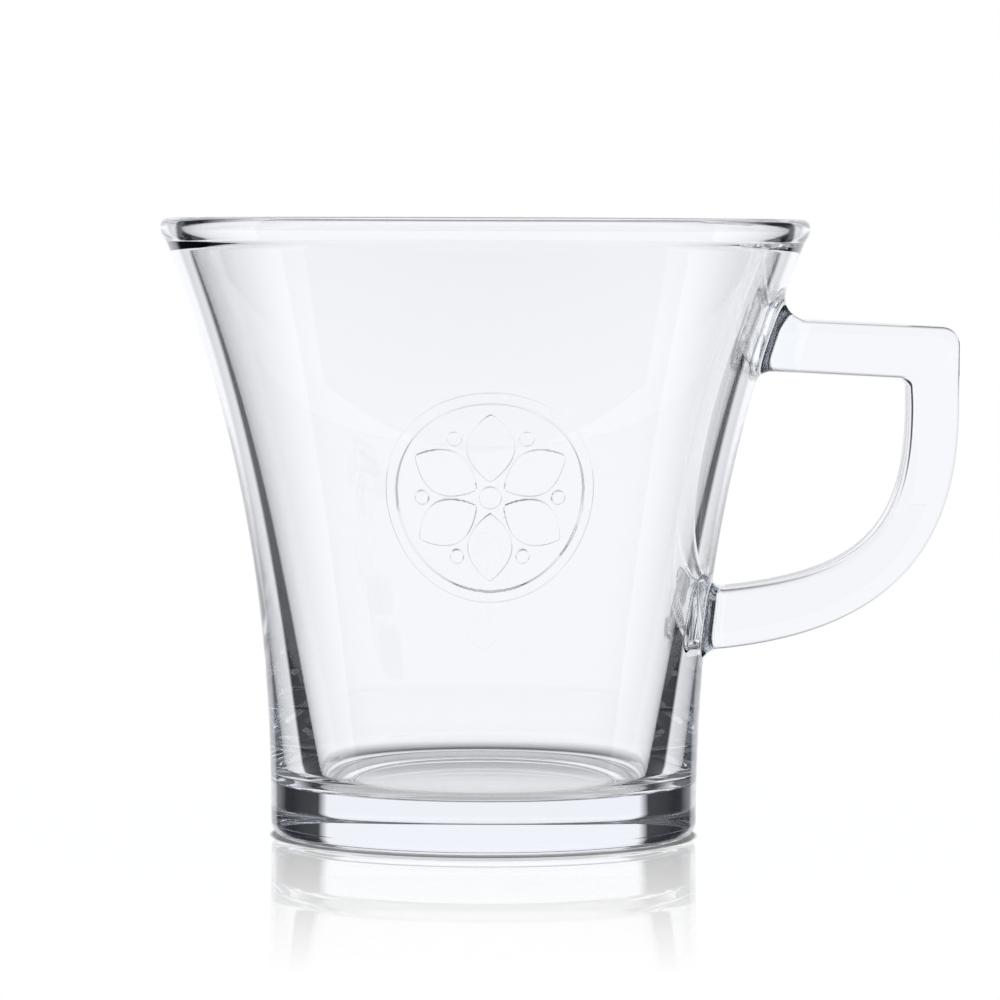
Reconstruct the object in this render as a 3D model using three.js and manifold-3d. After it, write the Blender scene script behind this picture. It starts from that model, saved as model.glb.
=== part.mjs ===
// A flared glass coffee mug with a D-shaped handle, in millimetres, +Z up, standing on Z = 0.
// The mug's round axis is parallel to Z, and the handle reaches out along +X.

import * as THREE from 'three';
import { mergeVertices } from 'three/addons/utils/BufferGeometryUtils.js';
import Module from 'manifold-3d';

const wasm = await Module();
wasm.setup();

// Cup
const HEIGHT = 87.2;
const RIM_RADIUS = 45.8;
const FOOT_RADIUS = 30.1;
const FLARE_POWER = 2.28;
const WALL_AT_LIP = 3;
const WALL_AT_FLOOR = 6.8;
const WALL_POWER = 3.3;
const FLOOR_THICKNESS = 7;
const FLOOR_CORNER_WIDTH = 2.6;
const FLOOR_CORNER_HEIGHT = 2.9;

// Foot
const FOOT_CORNER_RADIUS = 2;
const RECESS_RADIUS = 21.3;
const RECESS_DEPTH = 1.2;
const RECESS_SLOPE_WIDTH = 2.4;

// Lip
const LIP_HEIGHT = 3.3;
const LIP_OVERHANG = 0.8;
const LIP_BAND_HEIGHT = 1;
const LIP_WIDTH = 2.9;
const LIP_ROUND_RADIUS = 1.2;

// Handle
const HANDLE_BELOW_RIM = 17.6;
const ROOT_SPACING = 38.8;
const FINGER_GAP = 19.8;
const HANDLE_DEPTH = 12;
const UPPER_ARM_THICKNESS = 7.5;
const SIDE_THICKNESS = 7.1;
const LOWER_ARM_THICKNESS = 8.4;
const UPPER_ARM_FALL = 2.7;
const LOWER_ARM_RISE = 5;
const BEND_BELOW_ARM = 4;
const OUTER_BEND_DOWN = 0.61;
const OUTER_BEND_IN = 0.71;
const INNER_BEND_DOWN = 0.7;
const INNER_BEND_IN = 0.76;
const HANDLE_EDGE_RADIUS = 2;
const OUTER_CORNER_EASE = 0.5;
const INNER_CORNER_RADIUS = 1.5;

// Seals between the handle and the wall
const SEAL_FILLET = 1.8;
const UPPER_SEAL_CROWN = 4.5;
const LOWER_SEAL_CROWN = 1.8;
const SEAL_COLLAR = 0.2;
const JOINT_GAP = 0.3;

// Fineness of the facets
const ROUND_SEGMENTS = 64;
const WALL_STEPS = 14;
const CORNER_STEPS = 5;
const CURVE_STEPS = 14;
const EDGE_STEPS = 3;
const SEAL_CORNER_STEPS = 5;
const SEAL_FLARE_STEPS = 7;

const wallTop = HEIGHT - LIP_HEIGHT;
const upperRootHeight = HEIGHT - HANDLE_BELOW_RIM;
const lowerRootHeight = upperRootHeight - ROOT_SPACING;

// Outer wall: a plain foot that flares ever faster towards the lip
function outerRadius(z) {
  const flare = RIM_RADIUS - LIP_OVERHANG - FOOT_RADIUS;
  return FOOT_RADIUS + flare * Math.pow(Math.max(z, 0) / wallTop, FLARE_POWER);
}

function outerSlope(z) {
  const step = 0.01;
  return (outerRadius(z + step) - outerRadius(z - step)) / (2 * step);
}

// The wall thickens from the lip down to the floor, ever faster towards the floor
function wallThickness(z) {
  const share = (wallTop - z) / (wallTop - FLOOR_THICKNESS);
  return THREE.MathUtils.lerp(WALL_AT_LIP, WALL_AT_FLOOR, Math.pow(Math.max(share, 0), WALL_POWER));
}

function innerRadius(z) {
  return outerRadius(z) - wallThickness(z);
}

// Points on a quarter turn, from 0 to 90 degrees, both ends included
function quarterTurn(steps) {
  return Array.from({ length: steps + 1 }, (_, i) => (i / steps) * (Math.PI / 2));
}

function footProfile() {
  const points = [new THREE.Vector2(0, RECESS_DEPTH)];
  points.push(new THREE.Vector2(RECESS_RADIUS - RECESS_SLOPE_WIDTH, RECESS_DEPTH));
  points.push(new THREE.Vector2(RECESS_RADIUS, 0));
  for (const angle of quarterTurn(CORNER_STEPS)) {
    const z = FOOT_CORNER_RADIUS * (1 - Math.cos(angle));
    const inset = FOOT_CORNER_RADIUS * (1 - Math.sin(angle));
    points.push(new THREE.Vector2(outerRadius(z) - inset, z));
  }
  return points;
}

function outerWallProfile() {
  const points = [];
  for (let i = 1; i <= WALL_STEPS; i += 1) {
    const z = THREE.MathUtils.lerp(FOOT_CORNER_RADIUS, wallTop, i / WALL_STEPS);
    points.push(new THREE.Vector2(outerRadius(z), z));
  }
  return points;
}

// The lip stands proud of the wall as a short upright band with a rounded top
function lipProfile() {
  const roundHeight = HEIGHT - LIP_ROUND_RADIUS;
  const bandFoot = roundHeight - LIP_BAND_HEIGHT;
  const innerEdge = RIM_RADIUS - LIP_WIDTH;
  const points = [new THREE.Vector2(RIM_RADIUS, bandFoot)];
  for (const angle of quarterTurn(CORNER_STEPS)) {
    const inset = LIP_ROUND_RADIUS * (1 - Math.cos(angle));
    points.push(new THREE.Vector2(RIM_RADIUS - inset, roundHeight + LIP_ROUND_RADIUS * Math.sin(angle)));
  }
  for (const angle of quarterTurn(CORNER_STEPS)) {
    const inset = LIP_ROUND_RADIUS * (1 - Math.sin(angle));
    points.push(new THREE.Vector2(innerEdge + inset, roundHeight + LIP_ROUND_RADIUS * Math.cos(angle)));
  }
  points.push(new THREE.Vector2(innerEdge, bandFoot));
  return points;
}

function innerWallProfile() {
  const cornerTop = FLOOR_THICKNESS + FLOOR_CORNER_HEIGHT;
  const points = [];
  for (let i = 0; i < WALL_STEPS; i += 1) {
    const z = THREE.MathUtils.lerp(wallTop, cornerTop, i / WALL_STEPS);
    points.push(new THREE.Vector2(innerRadius(z), z));
  }
  for (const angle of quarterTurn(CORNER_STEPS)) {
    const z = cornerTop - FLOOR_CORNER_HEIGHT * Math.sin(angle);
    const inset = FLOOR_CORNER_WIDTH * (1 - Math.cos(angle));
    points.push(new THREE.Vector2(innerRadius(z) - inset, z));
  }
  points.push(new THREE.Vector2(0, FLOOR_THICKNESS));
  return points;
}

function bodyGeometry() {
  const profile = [...footProfile(), ...outerWallProfile(), ...lipProfile(), ...innerWallProfile()];
  const geometry = new THREE.LatheGeometry(profile, ROUND_SEGMENTS);
  geometry.rotateX(Math.PI / 2);
  return geometry;
}

// A root is where an arm meets the wall: a point in the XZ plane, the wall's outward normal and
// its upward tangent there, the arm's direction measured against that normal, and its seal's
// length out to the joint with the arm. The crown is the fillet on the seal's upper side.
function makeRoot(height, armAngle, armThickness, crown) {
  const slope = outerSlope(height);
  const normal = new THREE.Vector2(1, -slope).normalize();
  const tangent = new THREE.Vector2(slope, 1).normalize();
  const point = new THREE.Vector2(outerRadius(height), height);
  const lean = THREE.MathUtils.degToRad(armAngle) - normal.angle() + 2 * Math.PI;
  const halfHeight = armThickness / 2 / Math.cos(lean);
  const sealLength = Math.max(crown, SEAL_FILLET) + SEAL_COLLAR;
  return { point, normal, tangent, drift: Math.tan(lean), halfHeight, crown, sealLength };
}

const upperRoot = makeRoot(upperRootHeight, -UPPER_ARM_FALL, UPPER_ARM_THICKNESS, UPPER_SEAL_CROWN);
const lowerRoot = makeRoot(lowerRootHeight, LOWER_ARM_RISE, LOWER_ARM_THICKNESS, LOWER_SEAL_CROWN);
const handleReach = upperRoot.point.x + FINGER_GAP + SIDE_THICKNESS;

// A place beside a root: along the wall's tangent, across in Y, and out along its normal
function rootPlace(root, along, across, out) {
  const flat = root.point.clone();
  flat.addScaledVector(root.tangent, along);
  flat.addScaledVector(root.normal, out);
  return new THREE.Vector3(flat.x, across, flat.y);
}

// How far the round wall lies along a root's normal, seen from its tangent plane
function wallDip(root, along, across) {
  let out = 0;
  for (let i = 0; i < 8; i += 1) {
    const place = rootPlace(root, along, across, out);
    const radius = Math.hypot(place.x, place.y);
    const miss = radius - outerRadius(place.z);
    out -= miss / ((root.normal.x * place.x) / radius - outerSlope(place.z) * root.normal.y);
  }
  return out;
}

// How far a seal's fillet stands off the arm at a lift above the wall, on the side that faces
// the given angle, where 0 is up along the wall
function filletOffset(root, angle, lift) {
  const upward = Math.max(0, Math.cos(angle)) ** 2;
  const fillet = THREE.MathUtils.lerp(SEAL_FILLET, root.crown, upward);
  const left = Math.max(0, 1 - lift / fillet);
  return fillet * (1 - Math.sqrt(1 - left * left));
}

// The seal's outline at a lift above the wall: the arm's rounded section, grown by the fillet
function sealOutline(root, lift) {
  const alongCentre = root.halfHeight - HANDLE_EDGE_RADIUS;
  const acrossCentre = HANDLE_DEPTH / 2 - HANDLE_EDGE_RADIUS;
  const points = [];
  for (let corner = 0; corner < 4; corner += 1) {
    const alongSign = corner === 0 || corner === 3 ? 1 : -1;
    const acrossSign = corner < 2 ? 1 : -1;
    for (let i = 0; i <= SEAL_CORNER_STEPS; i += 1) {
      const angle = (corner + i / SEAL_CORNER_STEPS) * (Math.PI / 2);
      const radius = HANDLE_EDGE_RADIUS + filletOffset(root, angle, lift);
      const along = alongSign * alongCentre + radius * Math.cos(angle);
      const across = acrossSign * acrossCentre + radius * Math.sin(angle);
      points.push(new THREE.Vector2(along, across));
    }
  }
  return points;
}

// One ring of a seal: it follows the round wall at the wall, and lies flat at the joint
function sealRing(root, outline, lift) {
  const flatness = (lift - JOINT_GAP) / (root.sealLength - JOINT_GAP);
  return outline.map((p) => {
    const out = lift + (1 - flatness) * wallDip(root, p.x, p.y);
    return rootPlace(root, p.x + lift * root.drift, p.y, out);
  });
}

function sealRings(root) {
  const middle = sealOutline(root, JOINT_GAP).map((p) => p.multiplyScalar(0.5));
  const rings = [sealRing(root, middle, JOINT_GAP)];
  for (let i = 0; i <= SEAL_FLARE_STEPS; i += 1) {
    const share = 1 - Math.cos((i / SEAL_FLARE_STEPS) * (Math.PI / 2));
    const lift = THREE.MathUtils.lerp(JOINT_GAP, root.sealLength, share);
    rings.push(sealRing(root, sealOutline(root, lift), lift));
  }
  return rings;
}

function sealGeometry(root) {
  const rings = sealRings(root);
  const count = rings[0].length;
  const back = sealRing(root, [new THREE.Vector2(0, 0)], JOINT_GAP)[0];
  const last = rings[rings.length - 1];
  const front = last.reduce((sum, p) => sum.add(p), new THREE.Vector3()).divideScalar(count);
  const points = [back, ...rings.flat(), front];
  const faces = [];
  for (let i = 0; i < count; i += 1) {
    const next = (i + 1) % count;
    faces.push(0, 1 + i, 1 + next);
    for (let ring = 0; ring + 1 < rings.length; ring += 1) {
      const a = 1 + ring * count;
      const b = a + count;
      faces.push(a + i, b + i, b + next, a + i, b + next, a + next);
    }
    const top = 1 + (rings.length - 1) * count;
    faces.push(top + i, points.length - 1, top + next);
  }
  const geometry = new THREE.BufferGeometry().setFromPoints(points);
  geometry.setIndex(faces);
  return geometry;
}

// Runs a path straight towards a corner and around it on an arc
function roundCorner(path, before, corner, after, radius) {
  const toBefore = before.clone().sub(corner).normalize();
  const toAfter = after.clone().sub(corner).normalize();
  const half = Math.acos(toBefore.dot(toAfter)) / 2;
  const start = corner.clone().addScaledVector(toBefore, radius / Math.tan(half));
  const end = corner.clone().addScaledVector(toAfter, radius / Math.tan(half));
  const middle = toBefore.clone().add(toAfter).normalize();
  const centre = corner.clone().addScaledVector(middle, radius / Math.sin(half));
  const startAngle = start.clone().sub(centre).angle();
  const endAngle = end.clone().sub(centre).angle();
  path.lineTo(start.x, start.y);
  path.absarc(centre.x, centre.y, radius, startAngle, endAngle, toBefore.cross(toAfter) > 0);
}

// The control points of a bend that leaves the handle's side downwards and ends at the lower root
function bendPoints(sideX, topZ, end, fullnessDown, fullnessIn) {
  const rise = Math.tan(THREE.MathUtils.degToRad(LOWER_ARM_RISE));
  const run = fullnessIn * (sideX - end.x);
  const start = new THREE.Vector2(sideX, topZ);
  const first = new THREE.Vector2(sideX, topZ - fullnessDown * (topZ - end.y));
  const second = new THREE.Vector2(end.x + run, end.y + rise * run);
  return [start, first, second, end];
}

// The handle seen from the side, in the XZ plane, with both ends run on into the wall
function handleShape() {
  const fall = Math.tan(THREE.MathUtils.degToRad(UPPER_ARM_FALL));
  const rise = Math.tan(THREE.MathUtils.degToRad(LOWER_ARM_RISE));
  const half = UPPER_ARM_THICKNESS / 2 / Math.cos(THREE.MathUtils.degToRad(UPPER_ARM_FALL));
  const lowerHalf = LOWER_ARM_THICKNESS / 2 / Math.cos(THREE.MathUtils.degToRad(LOWER_ARM_RISE));
  const armHeight = (x) => upperRoot.point.y - fall * (x - upperRoot.point.x);
  const innerX = handleReach - SIDE_THICKNESS;
  const upperEnd = upperRoot.point.x - UPPER_ARM_THICKNESS;
  const lowerEnd = lowerRoot.point.x - LOWER_ARM_THICKNESS;
  const lowerEndHeight = lowerRoot.point.y - rise * LOWER_ARM_THICKNESS;

  const topEnd = new THREE.Vector2(upperEnd, armHeight(upperEnd) + half);
  const underEnd = new THREE.Vector2(upperEnd, armHeight(upperEnd) - half);
  const outerCorner = new THREE.Vector2(handleReach, armHeight(handleReach) + half);
  const innerCorner = new THREE.Vector2(innerX, armHeight(innerX) - half);
  const bendTop = innerCorner.y - BEND_BELOW_ARM;
  const outerFoot = new THREE.Vector2(lowerRoot.point.x, lowerRoot.point.y - lowerHalf);
  const innerFoot = new THREE.Vector2(lowerRoot.point.x, lowerRoot.point.y + lowerHalf);
  const outerBend = bendPoints(handleReach, bendTop, outerFoot, OUTER_BEND_DOWN, OUTER_BEND_IN);
  const innerBend = bendPoints(innerX, bendTop, innerFoot, INNER_BEND_DOWN, INNER_BEND_IN);

  const shape = new THREE.Shape();
  shape.moveTo(topEnd.x, topEnd.y);
  roundCorner(shape, topEnd, outerCorner, outerBend[0], HANDLE_EDGE_RADIUS + OUTER_CORNER_EASE);
  shape.lineTo(outerBend[0].x, outerBend[0].y);
  shape.bezierCurveTo(...outerBend[1].toArray(), ...outerBend[2].toArray(), ...outerBend[3].toArray());
  shape.lineTo(lowerEnd, lowerEndHeight - lowerHalf);
  shape.lineTo(lowerEnd, lowerEndHeight + lowerHalf);
  shape.lineTo(innerBend[3].x, innerBend[3].y);
  shape.bezierCurveTo(...innerBend[2].toArray(), ...innerBend[1].toArray(), ...innerBend[0].toArray());
  roundCorner(shape, innerBend[0], innerCorner, underEnd, INNER_CORNER_RADIUS);
  shape.lineTo(underEnd.x, underEnd.y);
  shape.closePath();
  return shape;
}

function toSolid(geometry) {
  const bare = geometry.clone();
  bare.deleteAttribute('normal');
  bare.deleteAttribute('uv');
  const merged = mergeVertices(bare, 0.001);
  const vertProperties = new Float32Array(merged.attributes.position.array);
  const triVerts = new Uint32Array(merged.index.array);
  return new wasm.Manifold(new wasm.Mesh({ numProp: 3, vertProperties, triVerts }));
}

function toGeometry(solid) {
  const mesh = solid.getMesh();
  const geometry = new THREE.BufferGeometry();
  geometry.setAttribute('position', new THREE.BufferAttribute(mesh.vertProperties, 3));
  geometry.setIndex(new THREE.BufferAttribute(mesh.triVerts, 1));
  return geometry;
}

// The block that trims an arm at the plane of its seal, with the joint's gap
function trimBlock(root) {
  const size = 4 * root.halfHeight;
  const block = new THREE.BoxGeometry(size, size + HANDLE_DEPTH, size);
  block.translate(-size / 2, 0, 0);
  block.rotateY(-root.normal.angle());
  const place = rootPlace(root, 0, 0, root.sealLength + JOINT_GAP);
  block.translate(place.x, place.y, place.z);
  return toSolid(block);
}

function handleGeometry() {
  const extruded = new THREE.ExtrudeGeometry(handleShape(), {
    depth: HANDLE_DEPTH - 2 * HANDLE_EDGE_RADIUS,
    steps: 1,
    curveSegments: CURVE_STEPS,
    bevelEnabled: true,
    bevelThickness: HANDLE_EDGE_RADIUS,
    bevelSize: HANDLE_EDGE_RADIUS,
    bevelOffset: -HANDLE_EDGE_RADIUS,
    bevelSegments: EDGE_STEPS,
  });
  extruded.translate(0, 0, HANDLE_EDGE_RADIUS - HANDLE_DEPTH / 2);
  extruded.rotateX(Math.PI / 2);
  const trimmed = toSolid(extruded).subtract(trimBlock(upperRoot)).subtract(trimBlock(lowerRoot));
  return toGeometry(trimmed);
}

function glass(color) {
  return new THREE.MeshStandardMaterial({
    color,
    roughness: 0.04,
    metalness: 0,
    transparent: true,
    opacity: 0.35,
  });
}

function addPiece(group, name, geometry, color) {
  geometry.computeVertexNormals();
  const piece = new THREE.Mesh(geometry, glass(color));
  piece.name = name;
  group.add(piece);
}

// The group stands with the middle of its overall box above the origin
const mug = new THREE.Group();
mug.position.x = (RIM_RADIUS - handleReach) / 2;
addPiece(mug, 'mug_body', bodyGeometry(), 0xf3f6f9);
addPiece(mug, 'handle', handleGeometry(), 0xf6f8fc);
addPiece(mug, 'upper_seal', sealGeometry(upperRoot), 0x6f8a8c);
addPiece(mug, 'lower_seal', sealGeometry(lowerRoot), 0x6f8a8c);

export default mug;
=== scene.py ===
"""A flared glass mug with a D-shaped glass handle, on a pale glossy table in soft studio light."""

import math

import bpy
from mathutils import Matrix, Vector


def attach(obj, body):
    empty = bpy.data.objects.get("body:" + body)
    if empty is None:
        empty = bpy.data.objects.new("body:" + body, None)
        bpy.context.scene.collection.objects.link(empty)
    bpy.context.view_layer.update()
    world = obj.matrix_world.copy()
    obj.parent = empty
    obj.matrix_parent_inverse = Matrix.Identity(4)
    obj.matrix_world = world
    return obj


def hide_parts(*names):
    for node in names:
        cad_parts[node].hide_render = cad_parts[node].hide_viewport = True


MM = 0.001

# Cup, in millimetres
HEIGHT = 87.2
RIM_RADIUS = 45.8
FOOT_RADIUS = 30.1
FLARE_POWER = 2.28
WALL_AT_LIP = 3.0
WALL_AT_FLOOR = 6.8
WALL_POWER = 3.3
FLOOR_THICKNESS = 7.0
FLOOR_CORNER_WIDTH = 2.6
FLOOR_CORNER_HEIGHT = 2.9
FOOT_CORNER_RADIUS = 2.0
RECESS_RADIUS = 21.3
RECESS_DEPTH = 1.2
RECESS_SLOPE_WIDTH = 2.4
LIP_HEIGHT = 3.3
LIP_OVERHANG = 0.8
LIP_BAND_HEIGHT = 1.0
LIP_ROUND_RADIUS = 1.2
LIP_WIDTH = 2.9
LIP_FOOT_ROUND = 0.9
LIP_BAND_ROUND = 3.0
LIP_INNER_BAND_ROUND = 0.5
LIP_INNER_FOOT_ROUND = 3.8
LIP_INNER_FALL = 2.0
RECESS_TOP_ROUND = 4.0
RECESS_EDGE_ROUND = 2.0

# Handle
HANDLE_BELOW_RIM = 17.6
ROOT_SPACING = 38.8
FINGER_GAP = 19.8
HANDLE_DEPTH = 12.0
UPPER_ARM_THICKNESS = 7.5
SIDE_THICKNESS = 7.1
LOWER_ARM_THICKNESS = 8.4
UPPER_ARM_FALL = math.radians(2.7)
LOWER_ARM_RISE = math.radians(5.0)
BEND_BELOW_ARM = 4.0
OUTER_BEND = (0.61, 0.71)
INNER_BEND = (0.7, 0.76)
EDGE_RADIUS = 2.0
OUTER_CORNER_RADIUS = 2.5
INNER_CORNER_RADIUS = 1.5

# Seals
SEAL_FILLET = 1.8
UPPER_SEAL_CROWN = 4.5
LOWER_SEAL_CROWN = 1.8
SEAL_COLLAR = 0.2
FUSED_GAP = 0.004

# Fineness
COLUMNS = 256
WALL_START = 3.8
ROW_STEP = 0.915
WALL_ROWS = 86
CORNER_SEGMENTS = 8
ARM_TOP_SEGMENTS = 18
ARM_SIDE_SEGMENTS = 14
WINDOW_COLUMNS = 13
WINDOW_ROWS = 22
WINDOW_RINGS = 6
PATCH_RINGS = 5
SEAL_RINGS = 14
SEAL_RING_POWER = 1.7
UPPER_ROOT_ROW = 72
LOWER_ROOT_ROW = 29
PROFILE_ROUND_STEPS = 8
INSIDE_ROWS = 64
FLOOR_CORNER_ROWS = 24
ARM_STEPS = 14
HANDLE_CORNER_STEPS = 16
SIDE_STEPS = 4
BEND_STEPS = 56
FLOOR_RINGS = 4
WINDOW_EASE = 0.4
CAP_RING = 0.5
WALL_SEARCH_STEPS = 8
END_SEARCH_STEPS = 40
SAME_POINT = 0.001

# Ornament on the front of the wall
ORNAMENT_COLUMN = 193
ORNAMENT_ROW = 50
ORNAMENT_HALF_COLUMNS = 20
ORNAMENT_HALF_ROWS = 18
ORNAMENT_SPLIT = 5
ORNAMENT_RELIEF = 0.45
ORNAMENT_EDGE = 0.5
PETAL_TURN = math.pi / 3
PETAL_START = 2.2
PETAL_LENGTH = 9.2
PETAL_HALF_WIDTH = 3.1
PETAL_POWER = 0.8
RING_RADIUS = 13.6
RING_HALF_WIDTH = 0.75
HUB_RADIUS = 1.5
BEAD_REACH = 9.3
BEAD_RADIUS = 0.95

# Glass
GLASS_INDEX = 1.5
CUP_TINT = (0.0, 0.3, 0.7, 1.0)
CUP_DENSITY = 1.3
SEAL_TINT = (0.0, 0.5, 0.7, 1.0)
SEAL_DENSITY = 2.5
WAVE_SCALE = 50.0
WAVE_HEIGHT = 0.00002
FILM_SCALE = 90.0
FILM_DETAIL = 2.0
FILM_SPAN = (0.56, 0.8)
FILM_ROUGHNESS = 0.0035
WEAR_HEIGHT = 0.06
WEAR_ROUGHNESS = 0.08

# Studio
WHITE = (1.0, 1.0, 1.0, 1.0)
TABLE_HALF = 4000.0
TABLE_DROP = 0.05
TABLE_ROUGHNESS = 0.02
TABLE_FADE = 150.0
TABLE_MIRROR_SEEN = (0.5, 0.0)
# To light that comes through glass, the table under the foot has a dim painted glow in place of light
# let through the cup, and beyond the foot it is a near mirror with no glow
TABLE_MIRROR_THROUGH_GLASS = (0.3, 0.98)
TABLE_GLOW_THROUGH_GLASS = (0.45, 0.0)
TABLE_UNDER = (28.8, 30.4)
# Painted contact shadow: a thin dark ring on the table round the foot, its span from the axis and its
# tone
TABLE_PAINTED_SHADOW = (29.8, 30.4)
TABLE_PAINTED_SHADOW_TONE = 0.3
ROOM_TONE = 0.9
CEILING_TONE = 0.08
FRONT_COLOUR = (1.12, 1.12, 1.15, 1.0)
FRONT_SHADE = (0.2, 0.2, 0.21, 1.0)
TENT_RADIUS = 900.0
TENT_SPAN = (-0.04, 1045.0)
TENT_FADE = (455.0, 950.0)
TENT_CLEARING = 0.5
STRIP_TOP = (150.0, 190.0)
LIGHT_TURNS = 32
MIRROR_TURNS = 24
TENT_TONES = (
    (0.0, (0.97, 0.98, 1.015)),
    (90.0, (1.12, 1.12, 1.15)),
    (33.0, (0.97, 0.98, 1.015)),
    (36.5, (0.012, 0.013, 0.018)),
    (56.0, (0.012, 0.013, 0.018)),
    (60.0, (0.84, 0.85, 0.875)),
)
MIRRORED_TONES = (
    (0.0, (0.97, 0.98, 1.015)),
    (90.0, (0.9, 0.9, 0.9)),
    (28.0, (0.97, 0.98, 1.015)),
    (33.0, (0.02, 0.022, 0.028)),
    (56.0, (0.02, 0.022, 0.028)),
    (60.0, (0.84, 0.85, 0.875)),
)

# Limits just before the first, second and fourth time that light crosses glass or is mirrored
FIRST = 0.5
SECOND = 1.5
FOURTH = 3.5

# Camera, in millimetres and radians
CAMERA_LENS = 209.0
CAMERA_SENSOR = 36.0
CAMERA_NEAR = 10.0
CAMERA_ASIDE = 2.03
CAMERA_AWAY = 820.0
CAMERA_HEIGHT = 90.39
CAMERA_DIP = 0.052365
CAMERA_ROLL = -0.0035

WALL_TOP = HEIGHT - LIP_HEIGHT


def lerp(a, b, share):
    return a + (b - a) * share


def smooth(share):
    share = min(1.0, max(0.0, share))
    return share * share * (3.0 - 2.0 * share)


def outer_radius(z):
    flare = RIM_RADIUS - LIP_OVERHANG - FOOT_RADIUS
    return FOOT_RADIUS + flare * (max(z, 0.0) / WALL_TOP) ** FLARE_POWER


def outer_slope(z):
    step = 0.01
    return (outer_radius(z + step) - outer_radius(z - step)) / (2 * step)


def inner_radius(z):
    share = max(0.0, WALL_TOP - z) / (WALL_TOP - FLOOR_THICKNESS)
    return outer_radius(z) - lerp(WALL_AT_LIP, WALL_AT_FLOOR, share**WALL_POWER)


def rounded_path(corners, steps):
    """A run of straight lines whose corners, given as (point, radius), are rounded on arcs."""
    path = [Vector(corners[0][0])]
    for i in range(1, len(corners) - 1):
        corner = Vector(corners[i][0])
        radius = corners[i][1]
        before = (Vector(corners[i - 1][0]) - corner).normalized()
        after = (Vector(corners[i + 1][0]) - corner).normalized()
        half = before.angle(after) / 2
        reach = radius / math.tan(half)
        start = corner + before * reach
        end = corner + after * reach
        centre = corner + (before + after).normalized() * (radius / math.sin(half))
        for k in range(steps + 1):
            spoke = (start - centre).slerp(end - centre, k / steps)
            spot = centre + spoke * radius
            if (spot - path[-1]).length > SAME_POINT:
                path.append(spot)
    path.append(Vector(corners[-1][0]))
    return path


class Skin:
    """The points, faces and corner normals of one piece, in millimetres from the cup's axis."""

    def __init__(self):
        self.points = []
        self.faces = []
        self.normals = []
        self.joints = []

    def point(self, place):
        self.points.append(place)
        return len(self.points) - 1

    def face(self, corners, normals, joint=0.0):
        self.faces.append(corners)
        self.normals.append(normals)
        self.joints.append(joint)

    def build(self, name, shift, material):
        mesh = bpy.data.meshes.new(name)
        places = [((p[0] + shift) * MM, p[1] * MM, p[2] * MM) for p in self.points]
        mesh.from_pydata(places, [], self.faces)
        mesh.polygons.foreach_set("use_smooth", [True] * len(self.faces))
        mesh.normals_split_custom_set([tuple(n) for face in self.normals for n in face])
        joint = mesh.attributes.new("joint", "FLOAT", "FACE")
        joint.data.foreach_set("value", self.joints)
        mesh.materials.append(material)
        piece = bpy.data.objects.new(name, mesh)
        bpy.context.scene.collection.objects.link(piece)
        return piece


class Root:
    """Where an arm meets the wall: a point, the wall's normal and tangent, and the arm's lean."""

    def __init__(self, height, arm_angle, arm_thickness, crown, middle_row):
        slope = outer_slope(height)
        self.normal = Vector((1.0, -slope)).normalized()
        self.tangent = Vector((slope, 1.0)).normalized()
        self.centre = Vector((outer_radius(height), height))
        lean = arm_angle - math.atan2(self.normal.y, self.normal.x)
        self.drift = math.tan(lean)
        self.half = arm_thickness / 2 / math.cos(lean)
        self.crown = crown
        self.length = max(crown, SEAL_FILLET) + SEAL_COLLAR
        self.middle_row = middle_row

    def place(self, along, across, out):
        flat = self.centre + self.tangent * along + self.normal * out
        return Vector((flat.x, across, flat.y))

    def wall_out(self, along, across):
        """How far the round wall lies along the normal, seen from the tangent plane."""
        out = 0.0
        for _ in range(WALL_SEARCH_STEPS):
            spot = self.place(along, across, out)
            radius = math.hypot(spot.x, spot.y)
            miss = radius - outer_radius(spot.z)
            out -= miss / (self.normal.x * spot.x / radius - outer_slope(spot.z) * self.normal.y)
        return out

    def wall_place(self, along, across, lift=0.0):
        return self.place(along, across, self.wall_out(along, across) + lift)

    def fillet(self, angle, lift):
        upward = max(0.0, math.cos(angle)) ** 2
        fillet = lerp(SEAL_FILLET, self.crown, upward)
        left = max(0.0, 1.0 - lift / fillet)
        return fillet * (1.0 - math.sqrt(max(0.0, 1.0 - left * left)))


def section(half):
    """An arm's rounded section as (along, across, angle of the normal), from the top's middle."""
    along = half - EDGE_RADIUS
    across = HANDLE_DEPTH / 2 - EDGE_RADIUS
    half_top = ARM_TOP_SEGMENTS // 2
    samples = []

    def edge(a0, c0, a1, c1, angle, count):
        for i in range(count):
            share = i / count
            samples.append((lerp(a0, a1, share), lerp(c0, c1, share), angle))

    def arc(a, c, start):
        for i in range(CORNER_SEGMENTS):
            angle = start + (i / CORNER_SEGMENTS) * math.pi / 2
            top = a + EDGE_RADIUS * math.cos(angle)
            aside = c + EDGE_RADIUS * math.sin(angle)
            samples.append((top, aside, angle))

    side = HANDLE_DEPTH / 2
    edge(half, 0.0, half, across, 0.0, half_top)
    arc(along, across, 0.0)
    edge(along, side, -along, side, math.pi / 2, ARM_SIDE_SEGMENTS)
    arc(-along, across, math.pi / 2)
    edge(-half, across, -half, -across, math.pi, ARM_TOP_SEGMENTS)
    arc(-along, -across, math.pi)
    edge(-along, -side, along, -side, 1.5 * math.pi, ARM_SIDE_SEGMENTS)
    arc(along, -across, 1.5 * math.pi)
    edge(half, -across, half, 0.0, 0.0, half_top)
    return samples


def footprint(root):
    """The outline of a seal on the wall, as (along, across)."""
    outline = []
    for along, across, angle in section(root.half):
        grow = root.fillet(angle, 0.0)
        outline.append((along + grow * math.cos(angle), across + grow * math.sin(angle)))
    return outline


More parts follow.
